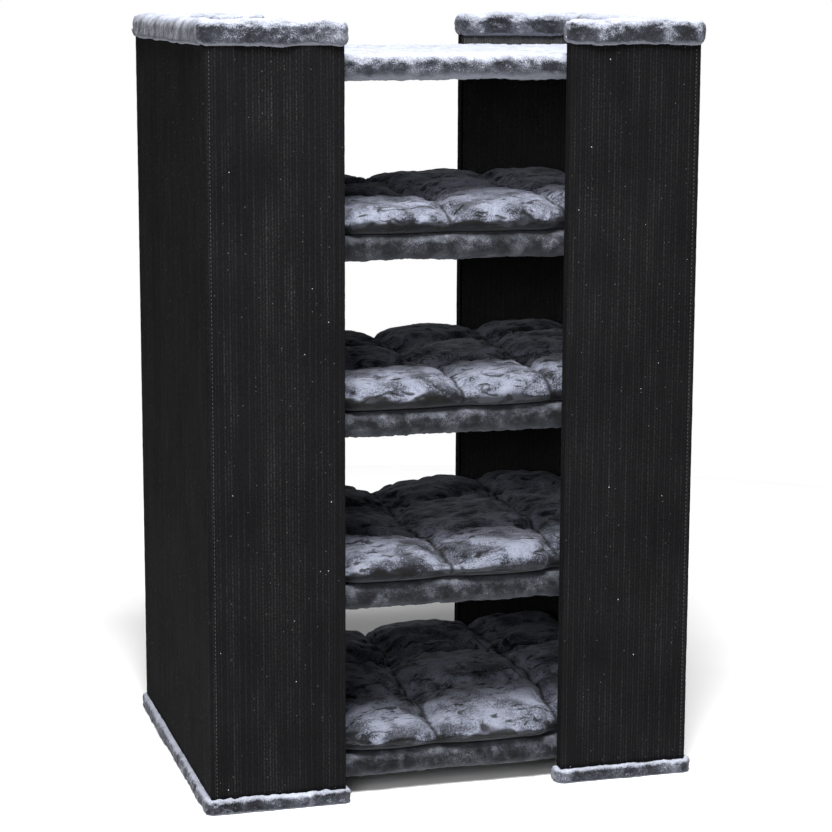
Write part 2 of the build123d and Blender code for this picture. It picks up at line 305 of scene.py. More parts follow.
def start_material(name):
    """A new material, its tree, its shader and the piece's own coordinates."""
    material = bpy.data.materials.new(name)
    material.use_nodes = True
    tree = material.node_tree
    shader = tree.nodes["Principled BSDF"]
    coords = tree.nodes.new("ShaderNodeTexCoord").outputs["Object"]
    return material, tree, shader, coords


def stretched(tree, coords, scale):
    """Coordinates scaled by a factor for each axis."""
    return add_node(tree, "ShaderNodeMapping", Vector=coords, Scale=scale).outputs["Vector"]


def noise_value(tree, coords, scale, detail=3.0, distortion=0.0, roughness=0.5):
    """The value of a noise texture."""
    made = add_node(
        tree,
        "ShaderNodeTexNoise",
        Vector=coords,
        Scale=scale,
        Detail=detail,
        Roughness=roughness,
        Distortion=distortion,
    )
    return made.outputs["Fac"]


def bumped(tree, shader, height, strength, distance):
    """Bump on the shader from a height in 0 to 1."""
    made = add_node(tree, "ShaderNodeBump", Height=height, Strength=strength, Distance=distance)
    tree.links.new(made.outputs["Normal"], shader.inputs["Normal"])


def mixed(tree, first, second, share, blend="MIX"):
    """Two colours mixed by a share."""
    made = tree.nodes.new("ShaderNodeMix")
    made.data_type, made.blend_type = "RGBA", blend
    for socket, value in ((made.inputs[0], share), (made.inputs[6], first), (made.inputs[7], second)):
        if isinstance(value, bpy.types.NodeSocket):
            tree.links.new(value, socket)
        else:
            socket.default_value = value if isinstance(value, float) else (*value, 1.0)
    return made.outputs[2]


def maths(tree, operation, first, second):
    """A sum, product or comparison of two values."""
    made = tree.nodes.new("ShaderNodeMath")
    made.operation = operation
    for socket, value in zip(made.inputs, (first, second)):
        if isinstance(value, bpy.types.NodeSocket):
            tree.links.new(value, socket)
        else:
            socket.default_value = value
    return made.outputs[0]


def plain_material(name, colour, roughness):
    """A slightly uneven matt surface, for the floor and the filling."""
    material, tree, shader, coords = start_material(name)
    shade = noise_value(tree, coords, 3.0)
    low = tuple(0.97 * c for c in colour)
    tree.links.new(ramp(tree, shade, [(0.3, low), (0.7, colour)]), shader.inputs["Base Color"])
    shader.inputs["Roughness"].default_value = roughness
    return material


def specks(tree, coords, scale, size, share, seed):
    """Scattered specks: 1 inside one. scale is cells per metre, and share is how many cells have one."""
    cells = add_node(tree, "ShaderNodeTexVoronoi", Vector=coords, Scale=scale)
    chance = tree.nodes.new("ShaderNodeSeparateColor")
    tree.links.new(cells.outputs["Color"], chance.inputs["Color"])
    inside = maths(tree, "LESS_THAN", cells.outputs["Distance"], size)
    rare = maths(tree, "GREATER_THAN", chance.outputs[seed], 1.0 - share)
    return maths(tree, "MULTIPLY", inside, rare)


def sisal_material(name, dark, light, line):
    """Sisal loops: fibres along the ribs, a painted highlight on the rib crests and specks of pale lint."""
    material, tree, shader, coords = start_material(name)
    fibres = noise_value(tree, stretched(tree, coords, (1.0, 1.0, 0.3)), 800.0, 3.0)
    patches = noise_value(tree, coords, 9.0, 3.0)
    yarn = ramp(tree, fibres, [(0.3, dark), (0.75, light)])
    # Painted highlight: a lighter colour on the rib crests, from the "crest" attribute, broken up by the
    # loops.
    crest = tree.nodes.new("ShaderNodeAttribute")
    crest.attribute_name = "crest"
    loops = noise_value(tree, stretched(tree, coords, (1.0, 1.0, 0.8)), 420.0, 1.0)
    broken = ramp(tree, loops, [(0.42, (0.1,) * 3), (0.62, (1.0,) * 3)])
    crest_highlight = maths(tree, "MULTIPLY", crest.outputs["Fac"], broken)
    lined = mixed(tree, yarn, line, crest_highlight)
    worn = ramp(tree, patches, [(0.3, (0.75, 0.75, 0.77)), (0.75, (1.15, 1.15, 1.15))])
    dyed = mixed(tree, lined, worn, 1.0, "MULTIPLY")
    dim = maths(tree, "MULTIPLY", specks(tree, coords, 150.0, 0.13, 0.10, 0), 0.5)
    dusty = mixed(tree, dyed, tuple(3.0 * c for c in line), dim)
    bright = maths(tree, "MULTIPLY", specks(tree, coords, 75.0, 0.08, 0.012, 1), 0.9)
    tree.links.new(mixed(tree, dusty, (0.3, 0.3, 0.32), bright), shader.inputs["Base Color"])
    rough = ramp(tree, fibres, [(0.2, (0.8,) * 3), (0.8, (1.0,) * 3)])
    tree.links.new(rough, shader.inputs["Roughness"])
    shader.inputs["Specular IOR Level"].default_value = 0.06
    bumped(tree, shader, fibres, 0.5, 0.0006)
    return material


# Painted light by which way the pile faces: how much of a light colour is mixed in, some on faces turned
# down, none on upright faces, most on faces turned up.
PAINTED_LIGHT_BY_FACING = [(0.1, (0.55,) * 3), (0.38, (0.0,) * 3), (0.6, (0.0,) * 3), (1.0, (1.0,) * 3)]
PAINTED_LIGHT_COLOUR = (0.42, 0.44, 0.52)


def pile_material(name, shades, patch, fine, ripple, tips, side_shade_brightness, sheen):
    """Short pile that lies in soft patches, with fine hairs and, on a loose cover, ripples with painted
    shade in their folds.

    shades run from the dark to the light side of the pile, patch is patches per metre, fine is hairs per
    metre, ripple is how deep the painted shade in the folds goes, from 0. tips is how much painted light
    is mixed in, most where the pile faces up and less where it faces down, and sides is how bright the
    colour stays under the painted shade where the pile faces sideways or down.
    A piece may store in its "dark" attribute where painted shade darkens its colour.
    """
    material, tree, shader, coords = start_material(name)
    lie = noise_value(tree, coords, patch, 4.0, 0.3, 0.55)
    hair = noise_value(tree, coords, fine, 3.0, 0.0, 0.75)
    grain = maths(tree, "MULTIPLY", maths(tree, "SUBTRACT", hair, 0.5), 0.8)
    painted_light_grain = maths(tree, "MULTIPLY", maths(tree, "SUBTRACT", hair, 0.5), 0.7)
    normal = tree.nodes.new("ShaderNodeSeparateXYZ")
    tree.links.new(tree.nodes.new("ShaderNodeNewGeometry").outputs["Normal"], normal.inputs["Vector"])
    uneven = maths(tree, "ADD", maths(tree, "MULTIPLY", lie, 0.5), 0.25)
    facing = maths(tree, "ADD", maths(tree, "MULTIPLY", normal.outputs["Z"], 0.5), uneven)
    # Painted top light: the light colour mixed in by which way the pile faces, with a grain at its edge.
    painted_light_share = maths(tree, "MULTIPLY", ramp(tree, maths(tree, "ADD", facing, painted_light_grain), PAINTED_LIGHT_BY_FACING), tips)
    # Painted shade: the colour darkened where the pile faces sideways or down.
    painted_side_shade = ramp(tree, facing, [(0.52, (side_shade_brightness,) * 3), (0.74, (1.0,) * 3)])
    patches = mixed(tree, ramp(tree, maths(tree, "ADD", lie, grain), shades), painted_side_shade, 1.0, "MULTIPLY")
    colour = mixed(tree, patches, PAINTED_LIGHT_COLOUR, painted_light_share)
    # Folds: darkened by ripple as painted shade in the creases, and bumped further down.
    folds = noise_value(tree, stretched(tree, coords, (0.45, 1.0, 0.8)), 62.0, 1.5, 1.2, 0.6)
    kept = 1.0 - ripple
    open_fold = ramp(tree, folds, [(0.34, (kept,) * 3), (0.44, (1.0,) * 3)])
    # Painted shade that a piece stores in its "dark" attribute, made uneven by the grain.
    mark = tree.nodes.new("ShaderNodeAttribute")
    mark.attribute_name = "dark"
    painted_shade_mask = maths(tree, "ADD", mark.outputs["Fac"], grain)
    clear = ramp(tree, painted_shade_mask, [(0.25, (1.0,) * 3), (0.8, (0.1,) * 3)])
    shaded = mixed(tree, open_fold, clear, 1.0, "MULTIPLY")
    tree.links.new(mixed(tree, colour, shaded, 1.0, "MULTIPLY"), shader.inputs["Base Color"])
    rough = ramp(tree, lie, [(0.3, (0.9,) * 3), (0.7, (0.65,) * 3)])
    tree.links.new(rough, shader.inputs["Roughness"])
    shader.inputs["Sheen Weight"].default_value = sheen
    shader.inputs["Sheen Roughness"].default_value = 0.4
    shader.inputs["Sheen Tint"].default_value = (0.86, 0.89, 1.0, 1.0)
    shader.inputs["Specular IOR Level"].default_value = 0.2
    fold_relief = maths(tree, "MULTIPLY", open_fold, ripple)
    relief = maths(tree, "ADD", fold_relief, maths(tree, "MULTIPLY", hair, 0.5))
    bumped(tree, shader, relief, 0.6, 0.0016)
    return material


def chip_material():
    """Raw chipboard: pressed flakes of different browns."""
    material, tree, shader, coords = start_material("chipboard")
    flakes = add_node(tree, "ShaderNodeTexVoronoi", Vector=coords, Scale=420.0)
    grey = tree.nodes.new("ShaderNodeSeparateColor")
    tree.links.new(flakes.outputs["Color"], grey.inputs["Color"])
    browns = [(0.1, (0.36, 0.24, 0.13)), (0.5, (0.58, 0.43, 0.27)), (0.9, (0.74, 0.6, 0.42))]
    tree.links.new(ramp(tree, grey.outputs[0], browns), shader.inputs["Base Color"])
    shader.inputs["Roughness"].default_value = 0.85
    bumped(tree, shader, grey.outputs[1], 0.4, 0.0004)
    return material


def beech_material():
    """Beech with fine rays along the dowels."""
    material, tree, shader, coords = start_material("beech")
    grain = noise_value(tree, stretched(tree, coords, (0.1, 1.0, 1.0)), 700.0, 3.0)
    browns = [(0.3, (0.52, 0.36, 0.22)), (0.7, (0.75, 0.58, 0.4))]
    tree.links.new(ramp(tree, grain, browns), shader.inputs["Base Color"])
    shader.inputs["Roughness"].default_value = 0.6
    bumped(tree, shader, grain, 0.3, 0.0003)
    return material


def zinc_material():
    """Zinc-plated steel with a mottled, slightly worn plating."""
    material, tree, shader, coords = start_material("zinc_steel")
    mottle = noise_value(tree, coords, 320.0, 4.0)
    greys = [(0.3, (0.5, 0.5, 0.49)), (0.7, (0.72, 0.72, 0.69))]
    tree.links.new(ramp(tree, mottle, greys), shader.inputs["Base Color"])
    tree.links.new(ramp(tree, mottle, [(0.3, (0.5,) * 3), (0.7, (0.28,) * 3)]), shader.inputs["Roughness"])
    shader.inputs["Metallic"].default_value = 1.0
    return material


def thread_material():
    """Grey thread, a little shiny."""
    material, tree, shader, coords = start_material("stitch_thread")
    twist = noise_value(tree, coords, 1500.0, 2.0)
    greys = [(0.3, (0.02, 0.02, 0.022)), (0.7, (0.06, 0.06, 0.065))]
    tree.links.new(ramp(tree, twist, greys), shader.inputs["Base Color"])
    shader.inputs["Roughness"].default_value = 0.6
    return material


# The third colour is the painted highlight on the rib crests; the pale lint specks take three times that
# colour.
SISAL = sisal_material("sisal", (0.0021, 0.0021, 0.0024), (0.007, 0.007, 0.0077), (0.034, 0.034, 0.035))
LINING = sisal_material("lining", (0.018, 0.018, 0.0185), (0.05, 0.05, 0.052), (0.08, 0.08, 0.082))
PLUSH_SHADES = [
    (0.32, (0.003, 0.0035, 0.005)),
    (0.45, (0.012, 0.0135, 0.019)),
    (0.56, (0.044, 0.048, 0.062)),
    (0.7, (0.15, 0.158, 0.19)),
]
# Plush: strong painted top light and a slight painted shade where it faces sideways or down.
PLUSH = pile_material("plush", PLUSH_SHADES, 28.0, 560.0, 0.0, 0.76, 0.75, 0.16)
# The lower shelves' plush: the same plush darkened to 0.42 as painted shade, with less painted top light
# and a weaker sheen.
SHELF_TONES_UNDER_PAINTED_SHADE = [(place, tuple(0.42 * c for c in shade)) for place, shade in PLUSH_SHADES]
SHELF_PLUSH_UNDER_PAINTED_SHADE = pile_material("shelf_plush_under_painted_shade", SHELF_TONES_UNDER_PAINTED_SHADE, 34.0, 560.0, 0.0, 0.10, 0.85, 0.08)
VELVET_SHADES = [
    (0.33, (0.004, 0.0045, 0.007)),
    (0.43, (0.022, 0.024, 0.035)),
    (0.50, (0.088, 0.095, 0.125)),
    (0.64, (0.15, 0.16, 0.205)),
]
# Velvet: little painted top light, deep painted shade where it faces sideways or down, and painted shade in
# its folds.
VELVET = pile_material("velvet", VELVET_SHADES, 20.0, 400.0, 0.85, 0.08, 0.22, 0.2)
THREAD = thread_material()
FIBRE = plain_material("fibre_filling", (0.85, 0.85, 0.83), 0.95)

# ---------------------------------------------------------------- sisal and lining

RIB_PITCH = 0.00465
RIB_DEPTH = 0.0012
SISAL_FINENESS = (5, 0.0083)
LINING_FINENESS = (4, 0.0125)
LOOP_SIZE = 0.006            # length of a loop along its rib


def rib_height(across, heights, seed):
    """Height of the loops over the valleys, at distances across the ribs and heights along them."""
    number = np.floor(across / RIB_PITCH)
    crest = np.abs(np.sin(math.pi * across / RIB_PITCH)) ** 0.6
    every_other = np.where(number % 2 == 0, 1.0, 0.8)
    own = np.stack([number * 0.05, heights, np.zeros_like(heights)], axis=1)
    loops = noise(own, LOOP_SIZE, seed)
    slow = noise(own, 0.05, seed + 3)
    return RIB_DEPTH * crest * every_other * (1.0 + 0.22 * loops + 0.12 * slow)


def rib_crest_highlights(across, heights, seed):
    """How much painted highlight each point of a rib gets, from 0 to 1: only the crests, some ribs more
    than others.
    """
    number = np.floor(across / RIB_PITCH)
    crest = np.abs(np.sin(math.pi * across / RIB_PITCH)) ** 3.0
    own = np.stack([number * 0.31, np.zeros_like(heights), np.zeros_like(heights)], axis=1)
    strength = 0.45 + 0.4 * noise(own, 1.0, seed) + 0.2 * np.where(number % 2 == 0, 1.0, -1.0)
    drift = 0.5 + 0.5 * noise(np.stack([number * 0.05, heights, heights], axis=1), 0.09, seed + 7)
    return np.clip(crest * strength * drift, 0.0, 1.0)


def mark_crest_highlights(piece, values):
    """Stores each point's painted crest highlight for the sisal's material."""
    layer = piece.data.attributes.new("crest", "FLOAT", "POINT")
    layer.data.foreach_set("value", values.astype(np.float32))


def ribbed_sheet(name, corners, radii, side, low, high, thickness, seed, fineness=SISAL_FINENESS):
    """A closed sheet of ribs that run upwards, along a path in plan whose outside is on its right.

    The crests of the ribs lie on the path, and the back of the sheet lies a thickness behind it.
    fineness is the number of points across a rib and the spacing of points along it.
    """
    rib_points, row_step = fineness
    path, normals = rounded_path(corners, radii, RIB_PITCH / rib_points, closed=False)
    across = np.concatenate([[0.0], np.cumsum(np.linalg.norm(np.diff(path, axis=0), axis=1))])
    rows = max(2, round((high - low) / row_step))
    levels = np.linspace(low, high, rows)
    grid_across, grid_level = np.meshgrid(across, levels)
    height = rib_height(grid_across.ravel(), grid_level.ravel(), seed).reshape(rows, -1)
    inset = RIB_DEPTH - height
    face = path[None, :, :] - normals[None, :, :] * inset[:, :, None]
    back = path - normals * thickness
    columns = len(path)
    front = np.dstack([side * face[:, :, 0], face[:, :, 1], grid_level])
    behind = np.array([[[side * x, y, level] for x, y in back] for level in (low, high)])
    points = np.concatenate([front.reshape(-1, 3), behind.reshape(-1, 3)])
    start = rows * columns
    faces = ring_faces(rows, columns, closed=False)
    for i in range(columns - 1):
        bottom_back, top_back, top = start + i, start + columns + i, (rows - 1) * columns + i
        faces.append([i, i + 1, bottom_back + 1, bottom_back])
        faces.append([top, top + 1, top_back + 1, top_back])
        faces.append([bottom_back, bottom_back + 1, top_back + 1, top_back])
    for edge in (0, columns - 1):
        upright = [row * columns + edge for row in range(rows)]
        faces.append(upright + [start + columns + edge, start + edge])
    sheet = new_piece(name, points, faces)
    # Painted highlight on the rib crests, stored for the material.
    lines = rib_crest_highlights(grid_across.ravel(), grid_level.ravel(), seed)
    mark_crest_highlights(sheet, np.concatenate([lines, np.zeros(2 * columns)]))
    return sheet


STITCH_PITCH, STITCH_LENGTH, STITCH_RADIUS = 0.0062, 0.0036, 0.00045


def stitches(name, x, y, low, high):
    """A row of short upright stitches, each a small spindle."""
    around = np.arange(6) * math.pi / 3.0
    shape = [(-0.5, 0.25), (-0.25, 0.9), (0.25, 0.9), (0.5, 0.25)]
    points, faces = [], []
    for number in range(int((high - low) / STITCH_PITCH)):
        middle = low + (number + 0.5) * STITCH_PITCH
        start = len(points)
        for (along, wide), angle in itertools.product(shape, around):
            radius = STITCH_RADIUS * wide
            across = (x + radius * math.cos(angle), y + radius * math.sin(angle))
            points.append((*across, middle + along * STITCH_LENGTH))
        for ring, i in itertools.product(range(3), range(6)):
            a = start + ring * 6
            faces.append([a + i, a + (i + 1) % 6, a + 6 + (i + 1) % 6, a + 6 + i])
        faces.append([start + i for i in range(6)])
        faces.append([start + 18 + i for i in range(6)])
    return new_piece(name, points, faces)


def wall_sizes(prefix):
    """Outer and inner faces of a column's walls, as distances from the middle of the tower."""
    cover_low, cover_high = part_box(f"{prefix}_sisal_cover")
    lining_low, lining_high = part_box(f"{prefix}_lining")
    rim_low, rim_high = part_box(f"{prefix}_side_rim")
    outer_x = max(abs(cover_low.x), abs(cover_high.x))
    edge_x = min(abs(cover_low.x), abs(cover_high.x))
    pile = max(abs(rim_low.x), abs(rim_high.x)) - outer_x
    inner_x = min(abs(rim_low.x), abs(rim_high.x)) + pile
    wall = outer_x - inner_x
    skin_thickness = min(abs(lining_low.x), abs(lining_high.x)) - edge_x
    return {
        "outer_x": outer_x,
        "inner_x": inner_x,
        "edge_x": edge_x,
        "outer_y": cover_high.y,
        "inner_y": cover_high.y - wall,
        "skin": skin_thickness,
        "low": cover_low.z,
        "high": cover_high.z,
    }


SEAM_FROM_CORNER = 0.009     # front and back sheets end in a seam just short of the corner
COVER_CORNER = 0.005


def add_sisal(prefix, side):
    """Side sheet round both corners, front and back sheets round the flanges' free edges."""
    wall = wall_sizes(prefix)
    ox, ix, ex = wall["outer_x"], wall["inner_x"], wall["edge_x"]
    oy, iy = wall["outer_y"], wall["inner_y"]
    low, high, skin_thickness = wall["low"], wall["high"], wall["skin"]
    seam = ox - SEAM_FROM_CORNER
    side_path = [(seam, -oy), (ox, -oy), (ox, oy), (seam, oy)]
    front_path = [(ex, -iy), (ex, -oy), (seam, -oy)]
    back_path = [(seam, oy), (ex, oy), (ex, iy)]
    bends = {"side": (side_path, [0.0, COVER_CORNER, COVER_CORNER, 0.0])}
    bends["front"] = (front_path, [0.0, 0.0015, 0.0])
    bends["back"] = (back_path, [0.0, 0.0015, 0.0])
    for number, (face, (path, radii)) in enumerate(bends.items()):
        sheet = ribbed_sheet(
            f"{prefix}_sisal_{face}", path, radii, side, low, high, skin_thickness, 11 * number + side
        )
        finish_piece(sheet, SISAL, "sisal", f"{prefix}_sisal_cover")
    for face, y in (("front", -oy), ("back", oy)):
        row = stitches(f"{prefix}_{face}_stitches", side * seam, y, low + 0.004, high - 0.035)
        finish_piece(row, THREAD, "sisal")
    start = ex + skin_thickness
    inside = [(start, -iy), (ix, -iy), (ix, iy), (start, iy)]
    path = [(x, y) for x, y in reversed(inside)]
    bends = [0.0, 0.003, 0.003, 0.0]
    name = f"{prefix}_inner_lining"
    seed = 71 + side
    lining = ribbed_sheet(name, path, bends, side, low, high, skin_thickness, seed, LINING_FINENESS)
    finish_piece(lining, LINING, "lining", f"{prefix}_lining")


# ---------------------------------------------------------------- plush wraps

PILE_STEP = 0.0019


def fluff(piece, seed, lump, tuft, keep_low=None):
    """Uneven stuffing and clumped pile on a plush surface, flat where it stands on the floor."""
    points, normals = coordinates(piece)
    lumps = layered_noise(points, 0.045, seed, 2) * lump
    pile = layered_noise(points, 0.011, seed + 9, 2) * tuft * 0.45
    tips = noise(points, 0.0042, seed + 20) * tuft * 0.3
    amount = lumps + pile + tips
    if keep_low is not None:
        amount *= np.clip((points[:, 2] - keep_low) / 0.004, 0.0, 1.0)
    moved = points + normals * amount[:, None]
    if keep_low is not None:
        moved[:, 2] = np.maximum(moved[:, 2], keep_low)
    set_points(piece, moved)


def shrunk(section, inset):
    """A section drawn in by an inset on every side, towards its middle."""
    low, high = section.min(axis=0), section.max(axis=0)
    middle, half = (low + high) / 2.0, (high - low) / 2.0
    return middle + (section - middle) * (1.0 - inset / half)


def domed_rings(section, start, end, dome):
    """Places and section points of rings along a strip whose ends are rounded over a length."""
    count = round(dome * math.pi / 2.0 / PILE_STEP)
    angles = [(i + 0.35) / count * math.pi / 2.0 for i in range(count)]
    insets = [(dome * (1.0 - math.sin(angle)), dome * (1.0 - math.cos(angle))) for angle in angles]
    first = sorted((start + along, inset) for along, inset in insets)
    last = sorted((end - along, inset) for along, inset in insets)
    run_start, run_end = start + dome, end - dome
    steps = round((run_end - run_start) / PILE_STEP)
    run = [(run_start + (run_end - run_start) * i / steps, 0.0) for i in range(1, steps)]
    return [(place, shrunk(section, inset)) for place, inset in first + run + last]


RIM_SECTION_RADIUS = 0.0165
RIM_DOME, SIDE_RIM_DOME = 0.014, 0.010
RIM_OVERLAP = 0.016          # the side strip's ends reach into the front and back strips
RIM_SAG = 0.001              # the pile on top is pressed down a little
RIM_COVER = 0.0018           # the least pile over the wall's top edge


def add_rim_strip(prefix, face, seed):
    """One plush strip over the top edge of a wall, with a channel for the wall from below."""
    node = f"{prefix}_{face}_rim"
    low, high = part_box(node)
    wall = wall_sizes(prefix)
    along_x = face != "side"
    across_low, across_high = (low.y, high.y) if along_x else (low.x, high.x)
    start, end = (low.x, high.x) if along_x else (low.y - RIM_OVERLAP, high.y + RIM_OVERLAP)
    thickness = wall["outer_x"] - wall["inner_x"]
    middle = (across_low + across_high) / 2.0
    slot = (middle - thickness / 2.0 - 0.0002, middle + thickness / 2.0 + 0.0002)
    outline = [
        (slot[1], low.z),
        (across_high, low.z),
        (across_high, high.z - RIM_SAG),
        (across_low, high.z - RIM_SAG),
        (across_low, low.z),
        (slot[0], low.z),
    ]
    radii = [0.0, 0.006, RIM_SECTION_RADIUS, RIM_SECTION_RADIUS, 0.006, 0.0]
    section, _ = rounded_path(outline, radii, PILE_STEP, closed=False)
    dome = RIM_DOME if along_x else SIDE_RIM_DOME
    rings = []
    for place, ring in domed_rings(section, start, end, dome):
        inside = not along_x or abs(place) > wall["edge_x"] - 0.0002
        inside = inside and np.allclose(ring, section)
        top = wall["high"] if inside else ring[0, 1] + 0.0002
        ring = np.concatenate([ring, [(ring[-1, 0], top), (ring[0, 0], top)]])
        if along_x:
            rings.append([(place, a, z) for a, z in ring])
        else:
            rings.append([(a, place, z) for a, z in ring])
    strip = skin(f"{node}_plush", rings)
    fluff(strip, seed, 0.0024, 0.0022 if along_x else 0.0010)
    keep_covered(strip, slot, wall, along_x)
    keep_channel(strip, len(section), len(rings), np.asarray(rings))
    finish_piece(strip, PLUSH, "plush", node)


def keep_covered(strip, slot, wall, along_x):
    """Keeps a little pile above the wall's top edge."""
    points, _ = coordinates(strip)
    across, along = points[:, 1 if along_x else 0], np.abs(points[:, 0 if along_x else 1])
    over = (across > slot[0] - 0.001) & (across < slot[1] + 0.001)
    over &= points[:, 2] > wall["high"] - 0.012
    first, last = (wall["edge_x"], wall["outer_x"]) if along_x else (0.0, wall["outer_y"])
    over &= (along > first - 0.001) & (along < last + 0.001)
    points[over, 2] = np.maximum(points[over, 2], wall["high"] + RIM_COVER)
    set_points(strip, points)


def keep_channel(strip, outside, count, rings):
    """Puts the points of a strip's channel back where they were before the pile was roughened."""
    points, _ = coordinates(strip)
    grid = points.reshape(count, -1, 3)
    kept = [0, outside - 1, *range(outside, grid.shape[1])]
    grid[:, kept] = rings[:, kept]
    set_points(strip, grid.reshape(-1, 3))


BASE_CORNER = 0.013


def add_base_strip(prefix, side, seed):
    """Plush round the U-shaped strip under a column, with the strip's board inside."""
    node = f"{prefix}_base_plush"
    low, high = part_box(node)
    wall = wall_sizes(prefix)
    margin = max(abs(low.x), abs(high.x)) - wall["outer_x"]
    ox, ix, ex = wall["outer_x"] + margin, wall["inner_x"] - margin, wall["edge_x"] - margin
    oy, iy = wall["outer_y"] + margin, wall["inner_y"] - margin
    outline = [(ex, -oy), (ox, -oy), (ox, oy), (ex, oy), (ex, iy), (ix, iy), (ix, -iy), (ex, -iy)]
    tight = 0.002
    radii = [BASE_CORNER] * 4 + [BASE_CORNER, tight, tight, BASE_CORNER]
    path, normals = rounded_path(outline, radii, PILE_STEP)
    top, under = high.z, 0.0
    profile = [
        (0.004, under),
        (0.0015, under + 0.0006),
        (0.0, under + 0.003),
        (0.0, under + 0.0055),
        (0.0, under + 0.008),
        (0.0, under + 0.0105),
        (0.0, under + 0.013),
        (0.0, under + 0.0155),
        (0.0004, top - 0.004),
        (0.0018, top - 0.0016),
        (0.004, top - 0.0003),
        (0.0065, top),
        (margin, top),
        (margin + 0.0015, top),
    ]
    rings = [[(side * x, y, z) for x, y in path - normals * inset] for inset, z in profile]
    strip = skin(f"{node}_strip", rings)
    fluff(strip, seed, 0.0018, 0.0032, keep_low=under)
    finish_piece(strip, PLUSH, "plush", node)


SHELF_RADIUS = 0.016
SHELF_STEP = 0.0024
TOP_SHELF_STEP = 0.0031
SHELF_COARSE = 0.008         # spacing on the flat faces, away from the edges
SHELF_FINE = 0.03            # width of the edges


def thinned(section, edges):
    """Leaves out section points on the flat faces so that only the edges stay fine."""
    every = round(SHELF_COARSE / SHELF_STEP)
    fine = [min(abs(y - edge) for edge in edges) < SHELF_FINE for y, _ in section]
    return section[[i for i, close in enumerate(fine) if close or i % every == 0]]


def add_shelf_plush(number, seed):
    """Plush sleeve round a shelf board: soft rounded edges front and back, open at both ends."""
    node = f"shelf_{number}_plush"
    low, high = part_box(node)
    board_low, board_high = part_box(f"shelf_{number}_board")
    outline = [(low.y, low.z), (high.y, low.z), (high.y, high.z), (low.y, high.z)]
    step = SHELF_STEP if number > 1 else TOP_SHELF_STEP
    section, _ = rounded_path(outline, [SHELF_RADIUS] * 4, step)
    if number > 1:
        section = thinned(section, (low.y, high.y))
    inner = np.clip(section, (board_low.y, board_low.z), (board_high.y, board_high.z))
    steps = round((high.x - low.x) / step)
    places = [low.x + (high.x - low.x) * i / steps for i in range(steps + 1)]
    rings = [[(x, y, z) for y, z in section] for x in places]
    rings += [[(x, y, z) for y, z in inner] for x in (high.x, low.x)]
    rings = np.asarray(rings + rings[:1])
    sleeve = new_piece(f"{node}_sleeve", rings.reshape(-1, 3), ring_faces(len(rings), len(section)))
    outside = (steps + 1) * len(section)
    fluff(sleeve, seed, 0.0014, 0.0028)
    points, _ = coordinates(sleeve)
    points[:, 0] = np.clip(points[:, 0], low.x, high.x)
    points[outside:] = rings.reshape(-1, 3)[outside:]
    points[-len(section):] = points[:len(section)]
    set_points(sleeve, points)
    weld(sleeve)
    # Shelves 2 to 5 take the copy of the plush darkened with painted shade.
    finish_piece(sleeve, PLUSH if number == 1 else SHELF_PLUSH_UNDER_PAINTED_SHADE, "plush", node)


def weld(piece):
    """Merges points of a piece that lie on each other."""
    work = bmesh.new()
    work.from_mesh(piece.data)
    bmesh.ops.remove_doubles(work, verts=work.verts, dist=1e-6)
    work.to_mesh(piece.data)
    work.free()


# ---------------------------------------------------------------- cushions

CUSHION_STEP = 0.0060
CUSHION_CELLS = (4, 3)       # puffs across and deep
CUSHION_LIP = 0.019          # height of the seam round the edge
CUSHION_UNDERCUT = 0.045     # how far in from the edge the cushion rests on the shelf
CUSHION_OPENING = 0.170      # the cushion spills out a little between the columns, this far from the middle
CUSHION_SPILL = 0.011
CUSHION_SLOPE = 0.085        # how far in from the edge the puffs reach their full height
CUSHION_SEAM = 0.037         # height of the sewn channels
CUSHION_KNOT = 0.027         # height where two channels cross
CUSHION_CROWN = 0.048        # height of the puffs before the cover fills out
CUSHION_MOST = 0.009         # the furthest that the simulation may move a point
CLOTH_FRAMES = 20
FILLING_SHARE = (0.94, 0.94, 0.45)
FILLING_CLEARANCE = 0.003


def channel_places(half, cells, seed):
    """Places of the channels across one axis, a little off the even spacing."""
    places = [half * (2.0 * i / cells - 1.0) for i in range(1, cells)]
    return [p + 0.012 * math.sin(3.7 * i + 1.9 * seed) for i, p in enumerate(places)]


def channel_distance(flat, places, axis, seed):
    """Distance to the nearest channel, each of which wanders along its length."""
    other = flat[:, 1 - axis]
    nearest = np.full(len(flat), 1.0)
    for i, place in enumerate(places):
        drift = 0.009 * np.sin(other * 9.0 + 2.1 * i + seed) + 0.004 * np.sin(other * 27.0 + 5.0 * i)
        nearest = np.minimum(nearest, np.abs(flat[:, axis] - place - drift))
    return nearest


def flatwise(flat):
    """Plan coordinates as points, for the noise."""
    return np.c_[flat, np.zeros(len(flat))]


def puffs(flat, half, across, deep, number):
    """Height of the upper side: puffs, low along the channels and lowest where they cross."""
    near = np.clip(np.minimum(across, deep) / 0.075, 0.0, 1.0)
    rise = 1.0 - (1.0 - near) ** 2.4
    knot = np.exp(-(across**2 + deep**2) / 0.018**2)
    back = 0.32 if number == CUSHIONS[-1] else 0.06
    lean = 0.20 * flat[:, 0] / half[0] + back * flat[:, 1] / half[1]
    seam = CUSHION_SEAM * (1.0 + 0.35 * flat[:, 0] / half[0] + back * flat[:, 1] / half[1])
    valley = seam + (CUSHION_KNOT - CUSHION_SEAM) * knot
    crown = CUSHION_CROWN * (1.0 + lean + 0.16 * noise(flatwise(flat), 0.16, number))
    return valley + (crown - valley) * rise


def cushion_plan(low, high):
    """The middle of a cushion's box and half the cushion's width and depth before it fills out."""
    middle = (low + high) / 2.0
    return middle, (middle.x - low.x - 0.005, middle.y - low.y - 0.001)


